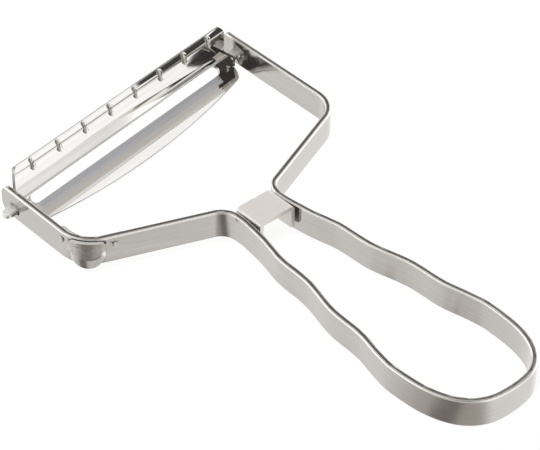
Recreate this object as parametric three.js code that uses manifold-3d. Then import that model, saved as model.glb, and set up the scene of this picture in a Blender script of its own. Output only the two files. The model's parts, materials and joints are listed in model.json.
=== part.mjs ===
// Vegetable peeler of bent stainless strip: a waved handle loop, a neck bridge, a yoke whose right arm is the
// longer one, a slanted cutter that swivels in the arms, and a scoop for eyes round the left corner.
// Millimetres, +Z up, +Y from the handle to the cutter, +X to the longer arm. While it is built, the neck's
// centre is at X = Y = 0 and the strip's top edge at Z = 0.
import * as THREE from "three";
import { mergeVertices } from "three/addons/utils/BufferGeometryUtils.js";
import Module from "manifold-3d";

const wasm = await Module();
wasm.setup();

// The strip that the frame is bent from
const STRIP_HEIGHT = 7.3;
const STRIP_THICKNESS = 1.5;
const STRIP_EDGE_ROUND = 0.45;

// The handle loop, to the strip's outer face, from the neck's centre backwards
const NECK_WIDTH = 14.2;
const BELLY_WIDTH = 31.4;
const NECK_TO_BELLY = 57;
const BELLY_TO_END = 22;
const END_SQUARENESS = 2.6;
const WAVE_DEPTH = 0.42;
const WAVE_PITCH = 20.6;
const NECK_TO_FIRST_CREST = 14.5;

// The yoke, to the strip's outer face
const YOKE_WIDTH = 80.4;
const SHOULDER_ANGLE = THREE.MathUtils.degToRad(21.5);
const NECK_TO_SHOULDER = 5.3;
const NECK_BEND_RADIUS = 4.5;
const CORNER_BEND_RADIUS = 9.5;
const NECK_TO_PIVOT = 48.5;
const PIVOT_BELOW_TOP_EDGE = 4.2;
const PIVOT_TO_TIP = 4.9;
const TIP_TOP_ROUND = 2.2;
const TIP_BOTTOM_ROUND = 3.2;

// The bridge that ties the neck, an upside-down U
const BRIDGE_LENGTH = 8.2;
const BRIDGE_SHEET = 1;
const BRIDGE_BEND_RADIUS = 1.3;
const BRIDGE_FLANGE_HEIGHT = 6.2;
const BRIDGE_ABOVE_TOP_EDGE = 0.7;

// The eye scoop round the left corner
const SCOOP_WIDTH = 8.4;
const SCOOP_TOWARDS_NECK = 1.3;
const SCOOP_DROP = 0.9;
const SCOOP_SHEET = 0.9;
const SCOOP_BELOW_TOP_EDGE = 0.4;
const SCOOP_TOP_ROUND = 1.2;
const SCOOP_EDGE_THICKNESS = 0.2;
const SCOOP_BEVEL_SIDE = 1;
const SCOOP_BEVEL_FOOT = 2.9;
const TAB_BELOW_TOP_EDGE = 1.2;
const TAB_HEIGHT = 2.1;
const TAB_WIDTH = 0.9;
const TAB_LENGTH = 5;
const SLIT_CLEARANCE = 0.3;

// The two rivets of the scoop
const RIVET_HEAD_RADIUS = 0.8;
const RIVET_HEAD_HEIGHT = 0.25;
const RIVET_CROWN_SHARE = 0.8;
const RIVET_SHANK_RADIUS = 0.45;
const RIVET_CLEARANCE = 0.2;
const SLIT_TO_RIVET = 3;

// The cutter, one stamping. Its section lies in the plane across the swivel axis: n towards the head, z up
const CUTTER_END_CLEARANCE = 0.4;
const CUTTER_SHEET = 0.9;
const BLADE_SLANT = THREE.MathUtils.degToRad(9);
const SWIVEL_RANGE = THREE.MathUtils.degToRad(25);
const PIVOT_TO_GUARD = 2.8;
const PIVOT_TO_GUARD_FOOT = 1.5;
const GUARD_INSET = 0.6;
const GUARD_HEIGHT = 8.05;
const GUARD_CORNER_ROUND = 2.6;
const RIM_LENGTH = 1.65;
const RIM_ANGLE = THREE.MathUtils.degToRad(30);
const FOOT_BEND_RADIUS = 1.2;
const BLADE_ANGLE = THREE.MathUtils.degToRad(38);
const BLADE_REACH = 10;
const BLADE_CURVE_RADIUS = 225;
const BLADE_CORNER_ROUND = 2.2;
const ARCH_START = 5.3;
const ARCH_ANGLE = THREE.MathUtils.degToRad(26);
const SLOT_START = 0.5;
const SLOT_WIDTH = 2.6;
const SLOT_END_WEB = 4.3;
const GROUND_WIDTH = 2.2;
const EDGE_THICKNESS = 0.12;
const BEAD_COUNT = 8;
const END_BEAD_SHARE = 0.675;
const BEAD_RADIUS = 0.72;
const BEAD_LENGTH = 3.4;
const BEAD_HEIGHT = 0.55;

// The cutter's tongues and the windows that they swivel in
const TONGUE_WIDTH = 2.8;
const TONGUE_THICKNESS = 1.2;
const TONGUE_BEYOND_ARM = 3.5;
const TONGUE_EDGE_ROUND = 0.25;
const TONGUE_TIP_ROUND = 1.1;
const TONGUE_CLEARANCE = 0.2;
const CHEEK_INSET = 0.2;
const CHEEK_ON_WEB = 2;
const CHEEK_DEPTH = 1.6;

// The least gap between two seated pieces
const SEAT_GAP = 0.3;

// Lengths that stand past a face so that a cut goes clean through it
const OVERCUT = 2;

// Steps of the round shapes
const LARGE_BEND_STEPS = 12;
const BEND_STEPS = 8;
const ROUND_STEPS = 6;
const SMALL_ROUND_STEPS = 4;
const EDGE_STEPS = 3;
const SCOOP_FACE_STEPS = 4;
const RIVET_SIDES = 16;
const BEAD_SIDES = 10;
const BEAD_END_STEPS = 3;

// Corners nearer than this are one corner
const WELD = 1e-4;

const STEEL = { roughness: 0.32, metalness: 1 };
const satinSteel = new THREE.MeshStandardMaterial({ color: 0xc3beb8, ...STEEL });
const plateSteel = new THREE.MeshStandardMaterial({ color: 0xdcd7cd, ...STEEL });
const scoopSteel = new THREE.MeshStandardMaterial({ color: 0xb9b2ad, ...STEEL });
const bladeSteel = new THREE.MeshStandardMaterial({ color: 0xc9c9ce, roughness: 0.14, metalness: 1 });

// Solids

function toSolid(geometry) {
  geometry.deleteAttribute("normal");
  geometry.deleteAttribute("uv");
  const merged = mergeVertices(geometry, WELD);
  const vertProperties = new Float32Array(merged.attributes.position.array);
  const triVerts = new Uint32Array(merged.index.array);
  return new wasm.Manifold(new wasm.Mesh({ numProp: 3, vertProperties, triVerts }));
}

function fromSolid(solid) {
  const mesh = solid.getMesh();
  const geometry = new THREE.BufferGeometry();
  geometry.setAttribute("position", new THREE.BufferAttribute(new Float32Array(mesh.vertProperties), 3));
  geometry.setIndex(new THREE.BufferAttribute(new Uint32Array(mesh.triVerts), 1));
  return geometry;
}

function named(name, geometry, material) {
  geometry.computeVertexNormals();
  const mesh = new THREE.Mesh(geometry, material);
  mesh.name = name;
  return mesh;
}

// A flat outline pushed along its own normal, with its first two axes laid along the given directions
function prism(points, from, to, firstAxis, secondAxis) {
  const geometry = new THREE.ExtrudeGeometry(new THREE.Shape(points), {
    depth: to - from,
    bevelEnabled: false,
  });
  geometry.translate(0, 0, from);
  const normal = new THREE.Vector3().crossVectors(firstAxis, secondAxis);
  return geometry.applyMatrix4(new THREE.Matrix4().makeBasis(firstAxis, secondAxis, normal));
}

// The same with rounded rims at both ends, within the same length and outline
function roundedPrism(points, from, to, round, segments) {
  const geometry = new THREE.ExtrudeGeometry(new THREE.Shape(points), {
    depth: to - from - 2 * round,
    bevelThickness: round,
    bevelSize: round,
    bevelOffset: -round,
    bevelSegments: segments,
  });
  return geometry.translate(0, 0, from + round);
}

const AXIS_X = new THREE.Vector3(1, 0, 0);
const AXIS_Y = new THREE.Vector3(0, 1, 0);
const AXIS_Z = new THREE.Vector3(0, 0, 1);

// Plane lines

function point(x, y) {
  return new THREE.Vector2(x, y);
}

// Points of an arc about a centre
function arc(center, radius, from, to, segments) {
  const points = [];
  for (let i = 0; i <= segments; i += 1) {
    const angle = from + ((to - from) * i) / segments;
    points.push(point(center.x + radius * Math.cos(angle), center.y + radius * Math.sin(angle)));
  }
  return points;
}

// A corner of a line, rounded by an arc that touches both legs
function roundedCorner(before, corner, after, radius, segments) {
  const legIn = before.clone().sub(corner).normalize();
  const legOut = after.clone().sub(corner).normalize();
  const halfAngle = Math.acos(THREE.MathUtils.clamp(legIn.dot(legOut), -1, 1)) / 2;
  const start = corner.clone().addScaledVector(legIn, radius / Math.tan(halfAngle));
  const end = corner.clone().addScaledVector(legOut, radius / Math.tan(halfAngle));
  const toCenter = legIn.clone().add(legOut).normalize();
  const center = corner.clone().addScaledVector(toCenter, radius / Math.sin(halfAngle));
  const from = Math.atan2(start.y - center.y, start.x - center.x);
  let sweep = Math.atan2(end.y - center.y, end.x - center.x) - from;
  sweep -= 2 * Math.PI * Math.round(sweep / (2 * Math.PI));
  return arc(center, radius, from, from + sweep, segments);
}

// A line moved to its left by a distance, with mitred corners
function offsetLine(points, distance) {
  return points.map((here, i) => {
    const before = points[Math.max(i - 1, 0)];
    const after = points[Math.min(i + 1, points.length - 1)];
    const into = (i > 0 ? here : after).clone().sub(i > 0 ? before : here).normalize();
    const out = (i < points.length - 1 ? after : here).clone();
    out.sub(i < points.length - 1 ? here : before).normalize();
    const normal = point(-into.y - out.y, into.x + out.x).normalize();
    const miter = normal.x * -into.y + normal.y * into.x;
    return here.clone().addScaledVector(normal, distance / miter);
  });
}

// A band of even thickness that lies to the left of a line
function band(line, from, to) {
  return [...offsetLine(line, from), ...offsetLine(line, to).reverse()];
}

// Frame strip

const HALF_YOKE = YOKE_WIDTH / 2;
const HALF_NECK = NECK_WIDTH / 2;
const HALF_BELLY = BELLY_WIDTH / 2;
const CORNER_Y = NECK_TO_SHOULDER + (HALF_YOKE - HALF_NECK) * Math.tan(SHOULDER_ANGLE);

// Where the swivel axis crosses an arm's outer face: side -1 is the left arm, +1 the right arm
function pivotY(side) {
  return NECK_TO_PIVOT + side * HALF_YOKE * Math.tan(BLADE_SLANT);
}

function tipY(side) {
  return pivotY(side) + PIVOT_TO_TIP;
}

// Half the handle's width at a distance behind the neck: a taper with waves on it
function handleHalfWidth(distance) {
  const taper = HALF_NECK + ((HALF_BELLY - HALF_NECK) * distance) / NECK_TO_BELLY;
  const wave = Math.cos((2 * Math.PI * (distance - NECK_TO_FIRST_CREST)) / WAVE_PITCH);
  const fadeIn = Math.min(1, distance / NECK_TO_FIRST_CREST);
  const fadeOut = Math.min(1, (2 * (NECK_TO_BELLY - distance)) / WAVE_PITCH);
  return taper + WAVE_DEPTH * wave * fadeIn * Math.max(fadeOut, 0);
}

// The right side of the handle's outer face, from the neck to the middle of its end
function handleSide() {
  const waveSteps = 16;
  const endSteps = 7;
  const knots = [];
  for (let i = 0; i < waveSteps; i += 1) {
    const distance = (NECK_TO_BELLY * i) / waveSteps;
    knots.push(point(handleHalfWidth(distance), -distance));
  }
  for (let i = 0; i <= endSteps; i += 1) {
    const angle = (Math.PI / 2) * (i / endSteps);
    const across = HALF_BELLY * Math.cos(angle) ** (2 / END_SQUARENESS);
    const along = BELLY_TO_END * Math.sin(angle) ** (2 / END_SQUARENESS);
    knots.push(point(across, -NECK_TO_BELLY - along));
  }
  const mirrored = knots.slice(-3, -1).map((knot) => point(-knot.x, knot.y));
  const spline = new THREE.SplineCurve([...knots, ...mirrored.reverse()]);
  const samples = 64;
  const last = (knots.length - 1) / (knots.length + mirrored.length - 1);
  const side = [];
  for (let i = 0; i <= samples; i += 1) {
    side.push(spline.getPoint((last * i) / samples));
  }
  return side;
}

// The right half of the strip's outer face, from the middle of the handle's end to the tip of an arm
function outerHalf(tip) {
  const side = handleSide();
  const neck = point(HALF_NECK, NECK_TO_SHOULDER);
  const corner = point(HALF_YOKE, CORNER_Y);
  const end = point(HALF_YOKE, tip);
  const neckBend = roundedCorner(side[0], neck, corner, NECK_BEND_RADIUS, BEND_STEPS);
  const cornerBend = roundedCorner(neck, corner, end, CORNER_BEND_RADIUS, LARGE_BEND_STEPS);
  return [...side.reverse(), ...neckBend, ...cornerBend, end];
}

// The whole outer face, from the left tip round the handle to the right tip
function outerLine() {
  const right = outerHalf(tipY(1));
  const left = outerHalf(tipY(-1)).map((p) => point(-p.x, p.y));
  return [...left.reverse().slice(0, -1), ...right];
}

// What is cut off an arm's tip to round one corner of it, as an outline of Y and Z
function tipCornerCut(side, edgeZ, inward, radius) {
  const tip = tipY(side);
  const outside = edgeZ - inward * OVERCUT;
  const center = point(tip - radius, edgeZ + inward * radius);
  const round = arc(center, radius, (-inward * Math.PI) / 2, 0, ROUND_STEPS);
  const outline = [point(tip - radius, outside), ...round, point(tip + OVERCUT, center.y)];
  return prism(
    [...outline, point(tip + OVERCUT, outside)],
    side * HALF_YOKE - 2 * STRIP_THICKNESS,
    side * HALF_YOKE + 2 * STRIP_THICKNESS,
    AXIS_Y,
    AXIS_Z,
  );
}

// The window in an arm, an outline of n and z: the tongue swept through its swivel, with clearance
function windowOutline() {
  const halfWidth = TONGUE_WIDTH / 2 + TONGUE_CLEARANCE;
  const halfThickness = TONGUE_THICKNESS / 2 + TONGUE_CLEARANCE;
  const reach = Math.hypot(halfWidth, halfThickness);
  const spread = SWIVEL_RANGE + Math.atan2(halfThickness, halfWidth);
  const waist = halfThickness / Math.cos(SWIVEL_RANGE);
  const front = arc(point(0, 0), reach, -spread, spread, BEND_STEPS);
  const rear = arc(point(0, 0), reach, Math.PI - spread, Math.PI + spread, BEND_STEPS);
  return [...front, point(0, waist), ...rear, point(0, -waist)];
}

// The cutter's own axes, with its swivel axis along X
const cutterPlace = new THREE.Matrix4().makeRotationZ(BLADE_SLANT).setPosition(
  0,
  NECK_TO_PIVOT,
  -PIVOT_BELOW_TOP_EDGE,
);

function armWindow(side) {
  const middle = (side * (HALF_YOKE - STRIP_THICKNESS / 2)) / Math.cos(BLADE_SLANT);
  const cut = prism(windowOutline(), middle - OVERCUT, middle + OVERCUT, AXIS_Y, AXIS_Z);
  return toSolid(cut.applyMatrix4(cutterPlace));
}

// Places round the left corner, where along is the way on the strip's outer face from the middle of the
// bend, positive towards the neck, and out is the distance outside that face
const BEND_HALF_ANGLE = (Math.PI / 2 - SHOULDER_ANGLE) / 2;
const BEND_HALF_LENGTH = CORNER_BEND_RADIUS * BEND_HALF_ANGLE;
const BEND_CENTER = point(
  -HALF_YOKE + CORNER_BEND_RADIUS,
  CORNER_Y + CORNER_BEND_RADIUS * Math.tan(BEND_HALF_ANGLE),
);

function cornerFrame(along) {
  const bent = THREE.MathUtils.clamp(along, -BEND_HALF_LENGTH, BEND_HALF_LENGTH);
  const angle = Math.PI + BEND_HALF_ANGLE + bent / CORNER_BEND_RADIUS;
  const outward = point(Math.cos(angle), Math.sin(angle));
  const forward = point(-outward.y, outward.x);
  const place = BEND_CENTER.clone().addScaledVector(outward, CORNER_BEND_RADIUS);
  return { place: place.addScaledVector(forward, along - bent), outward, forward };
}

function cornerPoint(along, out) {
  const { place, outward } = cornerFrame(along);
  return place.addScaledVector(outward, out);
}

// A block that follows the corner, between two places along it, two distances out and two heights
function cornerBlock(alongFrom, alongTo, outFrom, outTo, bottom, top) {
  const steps = 6;
  const near = [];
  const far = [];
  for (let i = 0; i <= steps; i += 1) {
    const along = alongFrom + ((alongTo - alongFrom) * i) / steps;
    near.push(cornerPoint(along, outFrom));
    far.push(cornerPoint(along, outTo));
  }
  return toSolid(prism([...far, ...near.reverse()], bottom, top, AXIS_X, AXIS_Y));
}

const SLIT_FROM_MIDDLE = SCOOP_WIDTH / 2 - TAB_WIDTH / 2;
const RIVET_FROM_MIDDLE = SLIT_FROM_MIDDLE + SLIT_TO_RIVET;
const TAB_TOP = -TAB_BELOW_TOP_EDGE;
const TAB_BOTTOM = TAB_TOP - TAB_HEIGHT;
const RIVET_Z = (TAB_TOP + TAB_BOTTOM) / 2;
const TAB_INNER_FACE = -STRIP_THICKNESS - SEAT_GAP - SCOOP_SHEET;

// A solid turned about the corner's outward direction at a rivet, from a profile of radius and distance out
function turnedAtRivet(side, profile) {
  const { place, outward, forward } = cornerFrame(SCOOP_TOWARDS_NECK + side * RIVET_FROM_MIDDLE);
  const lathe = new THREE.LatheGeometry(profile, RIVET_SIDES);
  const axis = new THREE.Vector3(outward.x, outward.y, 0);
  const across = new THREE.Vector3(forward.x, forward.y, 0);
  const basis = new THREE.Matrix4().makeBasis(across, axis, new THREE.Vector3().crossVectors(across, axis));
  return lathe.applyMatrix4(basis.setPosition(place.x, place.y, RIVET_Z));
}

function rivetHole(side) {
  const radius = RIVET_SHANK_RADIUS + RIVET_CLEARANCE;
  const inside = TAB_INNER_FACE - OVERCUT;
  const profile = [point(0, inside), point(radius, inside), point(radius, OVERCUT), point(0, OVERCUT)];
  return toSolid(turnedAtRivet(side, profile));
}

function frameStrip() {
  const outline = band(outerLine(), 0, STRIP_THICKNESS);
  let strip = toSolid(roundedPrism(outline, -STRIP_HEIGHT, 0, STRIP_EDGE_ROUND, EDGE_STEPS));
  for (const side of [-1, 1]) {
    strip = strip.subtract(toSolid(tipCornerCut(side, 0, -1, TIP_TOP_ROUND)));
    strip = strip.subtract(toSolid(tipCornerCut(side, -STRIP_HEIGHT, 1, TIP_BOTTOM_ROUND)));
    strip = strip.subtract(armWindow(side));
    const slit = SCOOP_TOWARDS_NECK + side * SLIT_FROM_MIDDLE;
    const slitFrom = slit - TAB_WIDTH / 2 - SLIT_CLEARANCE;
    const slitTo = slit + TAB_WIDTH / 2 + SLIT_CLEARANCE;
    const slitBottom = TAB_BOTTOM - SLIT_CLEARANCE;
    const slitTop = TAB_TOP + SLIT_CLEARANCE;
    const inside = -STRIP_THICKNESS - OVERCUT;
    strip = strip.subtract(cornerBlock(slitFrom, slitTo, inside, OVERCUT, slitBottom, slitTop));
    strip = strip.subtract(rivetHole(side));
  }
  return named("frame_strip", fromSolid(strip), satinSteel);
}

// Neck bridge

function neckBridge() {
  const half = HALF_NECK - STRIP_THICKNESS - SEAT_GAP;
  const top = BRIDGE_ABOVE_TOP_EDGE;
  const bottom = top - BRIDGE_FLANGE_HEIGHT;
  const leftTop = point(-half, top);
  const rightTop = point(half, top);
  const line = [
    point(half, bottom),
    ...roundedCorner(point(half, bottom), rightTop, leftTop, BRIDGE_BEND_RADIUS, ROUND_STEPS),
    ...roundedCorner(rightTop, leftTop, point(-half, bottom), BRIDGE_BEND_RADIUS, ROUND_STEPS),
    point(-half, bottom),
  ];
  const outline = band(line, 0, BRIDGE_SHEET);
  const geometry = prism(outline, -BRIDGE_LENGTH / 2, BRIDGE_LENGTH / 2, AXIS_X, AXIS_Z);
  return named("neck_bridge", geometry, plateSteel);
}

// Eye scoop

const SCOOP_BOTTOM = -STRIP_HEIGHT - SCOOP_DROP;

// The scoop's outline laid flat, with x from the middle of its width: a round-cornered top and a half
// ellipse. One inset makes it smaller at the sides and the top, the other at the foot
function scoopOutline(sideInset, footInset) {
  const half = SCOOP_WIDTH / 2 - sideInset;
  const top = -SCOOP_BELOW_TOP_EDGE - sideInset;
  const bottom = SCOOP_BOTTOM + footInset;
  const springing = TAB_BOTTOM;
  const right = point(half, top);
  const left = point(-half, top);
  const round = SCOOP_TOP_ROUND - sideInset;
  const rightCorner = roundedCorner(point(half, springing), right, left, round, SMALL_ROUND_STEPS);
  const outline = [...rightCorner];
  const topSteps = 8;
  for (let i = 1; i < topSteps; i += 1) {
    outline.push(point(rightCorner.at(-1).x * (1 - (2 * i) / topSteps), top));
  }
  outline.push(...rightCorner.map((p) => point(-p.x, p.y)).reverse());
  const steps = 24;
  for (let i = 0; i <= steps; i += 1) {
    const angle = Math.PI + (Math.PI * i) / steps;
    outline.push(point(half * Math.cos(angle), springing + (springing - bottom) * Math.sin(angle)));
  }
  return outline;
}

// A curved shield that is thinned to an edge by a ground bevel round its lower rim
function scoopShield() {
  const face = SEAT_GAP + SCOOP_SHEET;
  const edge = SEAT_GAP + SCOOP_EDGE_THICKNESS;
  const rim = scoopOutline(0, 0);
  const bevelTop = scoopOutline(SCOOP_BEVEL_SIDE, SCOOP_BEVEL_FOOT);
  const pole = point(0, TAB_BOTTOM);
  const faceRings = [];
  for (let i = 1; i <= SCOOP_FACE_STEPS; i += 1) {
    faceRings.push(bevelTop.map((p) => pole.clone().lerp(p, i / SCOOP_FACE_STEPS)));
  }
  const vertices = [];
  const faces = [];
  const add = (place, out) => {
    const p = cornerPoint(SCOOP_TOWARDS_NECK + place.x, out);
    vertices.push(p.x, p.y, place.y);
    return vertices.length / 3 - 1;
  };
  const join = (first, second) => {
    first.forEach((here, i) => {
      const next = (i + 1) % first.length;
      faces.push(here, second[i], second[next], here, second[next], first[next]);
    });
  };
  const rimOut = (place) => (place.y < TAB_BOTTOM ? edge : face);
  const outer = faceRings.map((ring) => ring.map((p) => add(p, face)));
  outer.push(rim.map((p) => add(p, rimOut(p))));
  const inner = [...faceRings, rim].map((ring) => ring.map((p) => add(p, SEAT_GAP)));
  const outerPole = add(pole, face);
  const innerPole = add(pole, SEAT_GAP);
  rim.forEach((_, i) => {
    const next = (i + 1) % rim.length;
    faces.push(outerPole, outer[0][i], outer[0][next], innerPole, inner[0][next], inner[0][i]);
  });
  for (let k = 0; k < outer.length - 1; k += 1) {
    join(outer[k], outer[k + 1]);
    join(inner[k + 1], inner[k]);
  }
  join(outer.at(-1), inner.at(-1));
  const geometry = new THREE.BufferGeometry();
  geometry.setAttribute("position", new THREE.Float32BufferAttribute(vertices, 3));
  geometry.setIndex(faces);
  return toSolid(geometry);
}

function eyeScoop() {
  let scoop = scoopShield();
  for (const side of [-1, 1]) {
    const slit = SCOOP_TOWARDS_NECK + side * SLIT_FROM_MIDDLE;
    const from = slit - TAB_WIDTH / 2;
    const to = slit + TAB_WIDTH / 2;
    const start = side > 0 ? from : from - TAB_LENGTH;
    const end = side > 0 ? to + TAB_LENGTH : to;
    const tabBack = -STRIP_THICKNESS - SEAT_GAP;
    scoop = scoop.add(cornerBlock(from, to, TAB_INNER_FACE, SEAT_GAP + SCOOP_SHEET / 2, TAB_BOTTOM, TAB_TOP));
    scoop = scoop.add(cornerBlock(start, end, TAB_INNER_FACE, tabBack, TAB_BOTTOM, TAB_TOP));
    scoop = scoop.subtract(rivetHole(side));
  }
  return named("eye_scoop", fromSolid(scoop), scoopSteel);
}

// Rivets

function scoopRivet(name, side) {
  const headBase = RIVET_CLEARANCE / 2;
  const tailBase = TAB_INNER_FACE - RIVET_CLEARANCE / 2;
  const crownRadius = RIVET_HEAD_RADIUS * RIVET_CROWN_SHARE;
  const profile = [
    point(0, tailBase - RIVET_HEAD_HEIGHT),
    point(crownRadius, tailBase - RIVET_HEAD_HEIGHT),
    point(RIVET_HEAD_RADIUS, tailBase),
    point(RIVET_SHANK_RADIUS, tailBase),
    point(RIVET_SHANK_RADIUS, headBase),
    point(RIVET_HEAD_RADIUS, headBase),
    point(crownRadius, headBase + RIVET_HEAD_HEIGHT),
    point(0, headBase + RIVET_HEAD_HEIGHT),
  ];
  return named(name, fromSolid(toSolid(turnedAtRivet(side, profile))), satinSteel);
}

// Cutter, in its own axes: X along the swivel axis, Y is n, Z up

const CUTTER_LENGTH = YOKE_WIDTH - 2 * STRIP_THICKNESS - 2 * CUTTER_END_CLEARANCE;
const HALF_CUTTER = CUTTER_LENGTH / 2;
const GUARD_LENGTH = CUTTER_LENGTH - 2 * GUARD_INSET;
const SLOT_LENGTH = CUTTER_LENGTH - 2 * SLOT_END_WEB;
const BEAD_PITCH = GUARD_LENGTH / (BEAD_COUNT - 1 + 2 * END_BEAD_SHARE);
const FOOT = point(PIVOT_TO_GUARD, -PIVOT_TO_GUARD_FOOT);
const BLADE_WAY = point(-Math.cos(BLADE_ANGLE), -Math.sin(BLADE_ANGLE));
const BLADE_UP = point(BLADE_WAY.y, -BLADE_WAY.x);

// The middle of the sheet in the section, from the guard's rim to past the blade's back edge
function sectionLine() {
  const bend = point(PIVOT_TO_GUARD, FOOT.y + GUARD_HEIGHT);
  const rim = point(bend.x + RIM_LENGTH * Math.sin(RIM_ANGLE), bend.y + RIM_LENGTH * Math.cos(RIM_ANGLE));
  const archStart = FOOT.clone().addScaledVector(BLADE_WAY, ARCH_START);
  const archRadius = (BLADE_REACH - ARCH_START) / ARCH_ANGLE;
  const archCenter = archStart.clone().addScaledVector(BLADE_UP, archRadius);
  const from = Math.atan2(-BLADE_UP.y, -BLADE_UP.x);
  const sweep = (BLADE_REACH + OVERCUT - ARCH_START) / archRadius;
  const arch = arc(archCenter, archRadius, from, from - sweep, BEND_STEPS);
  return [rim, bend, ...roundedCorner(bend, FOOT, archStart, FOOT_BEND_RADIUS, ROUND_STEPS), ...arch];
}

// A prism square to the blade's plane, from an outline of X and reach from the guard's foot
function bladePrism(outline, below, above) {
  const reachAxis = new THREE.Vector3(0, BLADE_WAY.x, BLADE_WAY.y);
  const cut = prism(outline, -above, below, AXIS_X, reachAxis);
  return toSolid(cut.translate(0, FOOT.x, FOOT.y));
}

// The blade's back edge: one long curve with rounded corners
function bladeOutline() {
  const far = point(HALF_CUTTER, BLADE_REACH - HALF_CUTTER ** 2 / (2 * BLADE_CURVE_RADIUS));
  const behind = -GUARD_HEIGHT - RIM_LENGTH - OVERCUT;
  const curve = [];
  const steps = 24;
  for (let i = 0; i <= steps; i += 1) {
    const x = HALF_CUTTER * (1 - (2 * i) / steps);
    curve.push(point(x, BLADE_REACH - x ** 2 / (2 * BLADE_CURVE_RADIUS)));
  }
  const corner = roundedCorner(point(far.x, behind), far, curve[1], BLADE_CORNER_ROUND, ROUND_STEPS);
  const mirrored = corner.map((p) => point(-p.x, p.y)).reverse();
  return [point(far.x, behind), ...corner, ...curve.slice(1, -1), ...mirrored, point(-far.x, behind)];
}

function slotOutline() {
  const radius = SLOT_WIDTH / 2;
  const reach = SLOT_START + radius;
  const right = arc(point(SLOT_LENGTH / 2 - radius, reach), radius, -Math.PI / 2, Math.PI / 2, BEND_STEPS);
  const left = right.map((p) => point(-p.x, 2 * reach - p.y));
  return [...right, ...left];
}

// What is ground off the upper face, from the cutting edge back, over the slot's straight length
function groundCut() {
  const at = (reach, height) => {
    return FOOT.clone().addScaledVector(BLADE_WAY, reach).addScaledVector(BLADE_UP, height);
  };
  const edge = SLOT_START + SLOT_WIDTH;
  const half = CUTTER_SHEET / 2;
  const slope = (CUTTER_SHEET - EDGE_THICKNESS) / GROUND_WIDTH;
  const overReach = SLOT_WIDTH / 2;
  const overHeight = slope * overReach;
  const outline = [
    at(edge - overReach, EDGE_THICKNESS - half - overHeight),
    at(edge + GROUND_WIDTH + overReach, half + overHeight),
    at(edge - overReach, half + overHeight),
  ];
  const length = SLOT_LENGTH / 2 - SLOT_WIDTH / 2;
  return toSolid(prism(outline, -length, length, AXIS_Y, AXIS_Z));
}

// The cutter seen along n: as long as the blade below the guard's foot, with round upper corners on the guard
function guardOutline() {
  const half = GUARD_LENGTH / 2;
  const top = FOOT.y + GUARD_HEIGHT + RIM_LENGTH * Math.cos(RIM_ANGLE) + CUTTER_SHEET / 2;
  const bottom = FOOT.y - BLADE_REACH - OVERCUT;
  const rightFoot = point(half, FOOT.y);
  const leftFoot = point(-half, FOOT.y);
  const right = point(half, top);
  const left = point(-half, top);
  return [
    point(-HALF_CUTTER, bottom),
    point(HALF_CUTTER, bottom),
    point(HALF_CUTTER, FOOT.y),
    rightFoot,
    ...roundedCorner(rightFoot, right, left, GUARD_CORNER_ROUND, ROUND_STEPS),
    ...roundedCorner(right, left, leftFoot, GUARD_CORNER_ROUND, ROUND_STEPS),
    leftFoot,
    point(-HALF_CUTTER, FOOT.y),
  ];
}

// A bead pressed across the bend between the guard and its rim
function guardBead(x) {
  const straight = BEAD_LENGTH - 2 * BEAD_RADIUS;
  const bead = new THREE.CapsuleGeometry(BEAD_RADIUS, straight, BEAD_END_STEPS, BEAD_SIDES);
  bead.rotateX(Math.PI / 2 - RIM_ANGLE / 2);
  const out = PIVOT_TO_GUARD - CUTTER_SHEET / 2 + BEAD_RADIUS - BEAD_HEIGHT;
  return toSolid(bead.translate(x, out, FOOT.y + GUARD_HEIGHT));
}

// A tongue on the swivel axis, and the upturned cheek that joins it to the guard and the web
function tongue(side) {
  const cheekOuter = GUARD_LENGTH / 2 - CHEEK_INSET;
  const cheekInner = cheekOuter - CUTTER_SHEET;
  const tip = (HALF_YOKE + TONGUE_BEYOND_ARM) / Math.cos(BLADE_SLANT);
  const half = TONGUE_WIDTH / 2;
  const round = TONGUE_TIP_ROUND;
  const rightOutline = [
    point(cheekInner, -half),
    ...arc(point(tip - round, round - half), round, -Math.PI / 2, 0, SMALL_ROUND_STEPS),
    ...arc(point(tip - round, half - round), round, 0, Math.PI / 2, SMALL_ROUND_STEPS),
    point(cheekInner, half),
  ];
  const outline = rightOutline.map((p) => point(side * p.x, p.y));
  const thick = TONGUE_THICKNESS / 2;
  const bar = toSolid(roundedPrism(outline, -thick, thick, TONGUE_EDGE_ROUND, EDGE_STEPS));
  const cheek = [
    point(-half, -thick - CHEEK_DEPTH),
    FOOT.clone().addScaledVector(BLADE_WAY, CHEEK_ON_WEB),
    FOOT,
    point(FOOT.x, thick),
    point(-half, thick),
  ];
  const from = side > 0 ? cheekInner : -cheekOuter;
  return bar.add(toSolid(prism(cheek, from, from + CUTTER_SHEET, AXIS_Y, AXIS_Z)));
}

function cutter() {
  const section = band(sectionLine(), -CUTTER_SHEET / 2, CUTTER_SHEET / 2);
  let solid = toSolid(prism(section.reverse(), -HALF_CUTTER, HALF_CUTTER, AXIS_Y, AXIS_Z));
  const depth = BLADE_REACH + GUARD_HEIGHT + RIM_LENGTH;
  solid = solid.intersect(bladePrism(bladeOutline(), depth, depth));
  const across = toSolid(prism(guardOutline(), -depth, depth, AXIS_X, AXIS_Z));
  solid = solid.intersect(across);
  solid = solid.subtract(bladePrism(slotOutline(), OVERCUT, OVERCUT));
  solid = solid.subtract(groundCut());
  for (let i = 0; i < BEAD_COUNT; i += 1) {
    solid = solid.add(guardBead((i - (BEAD_COUNT - 1) / 2) * BEAD_PITCH));
  }
  solid = solid.add(tongue(-1)).add(tongue(1));
  return named("cutter", fromSolid(solid), bladeSteel);
}

// Assembly, with the origin at the middle of the bottom of the whole peeler's box

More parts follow.
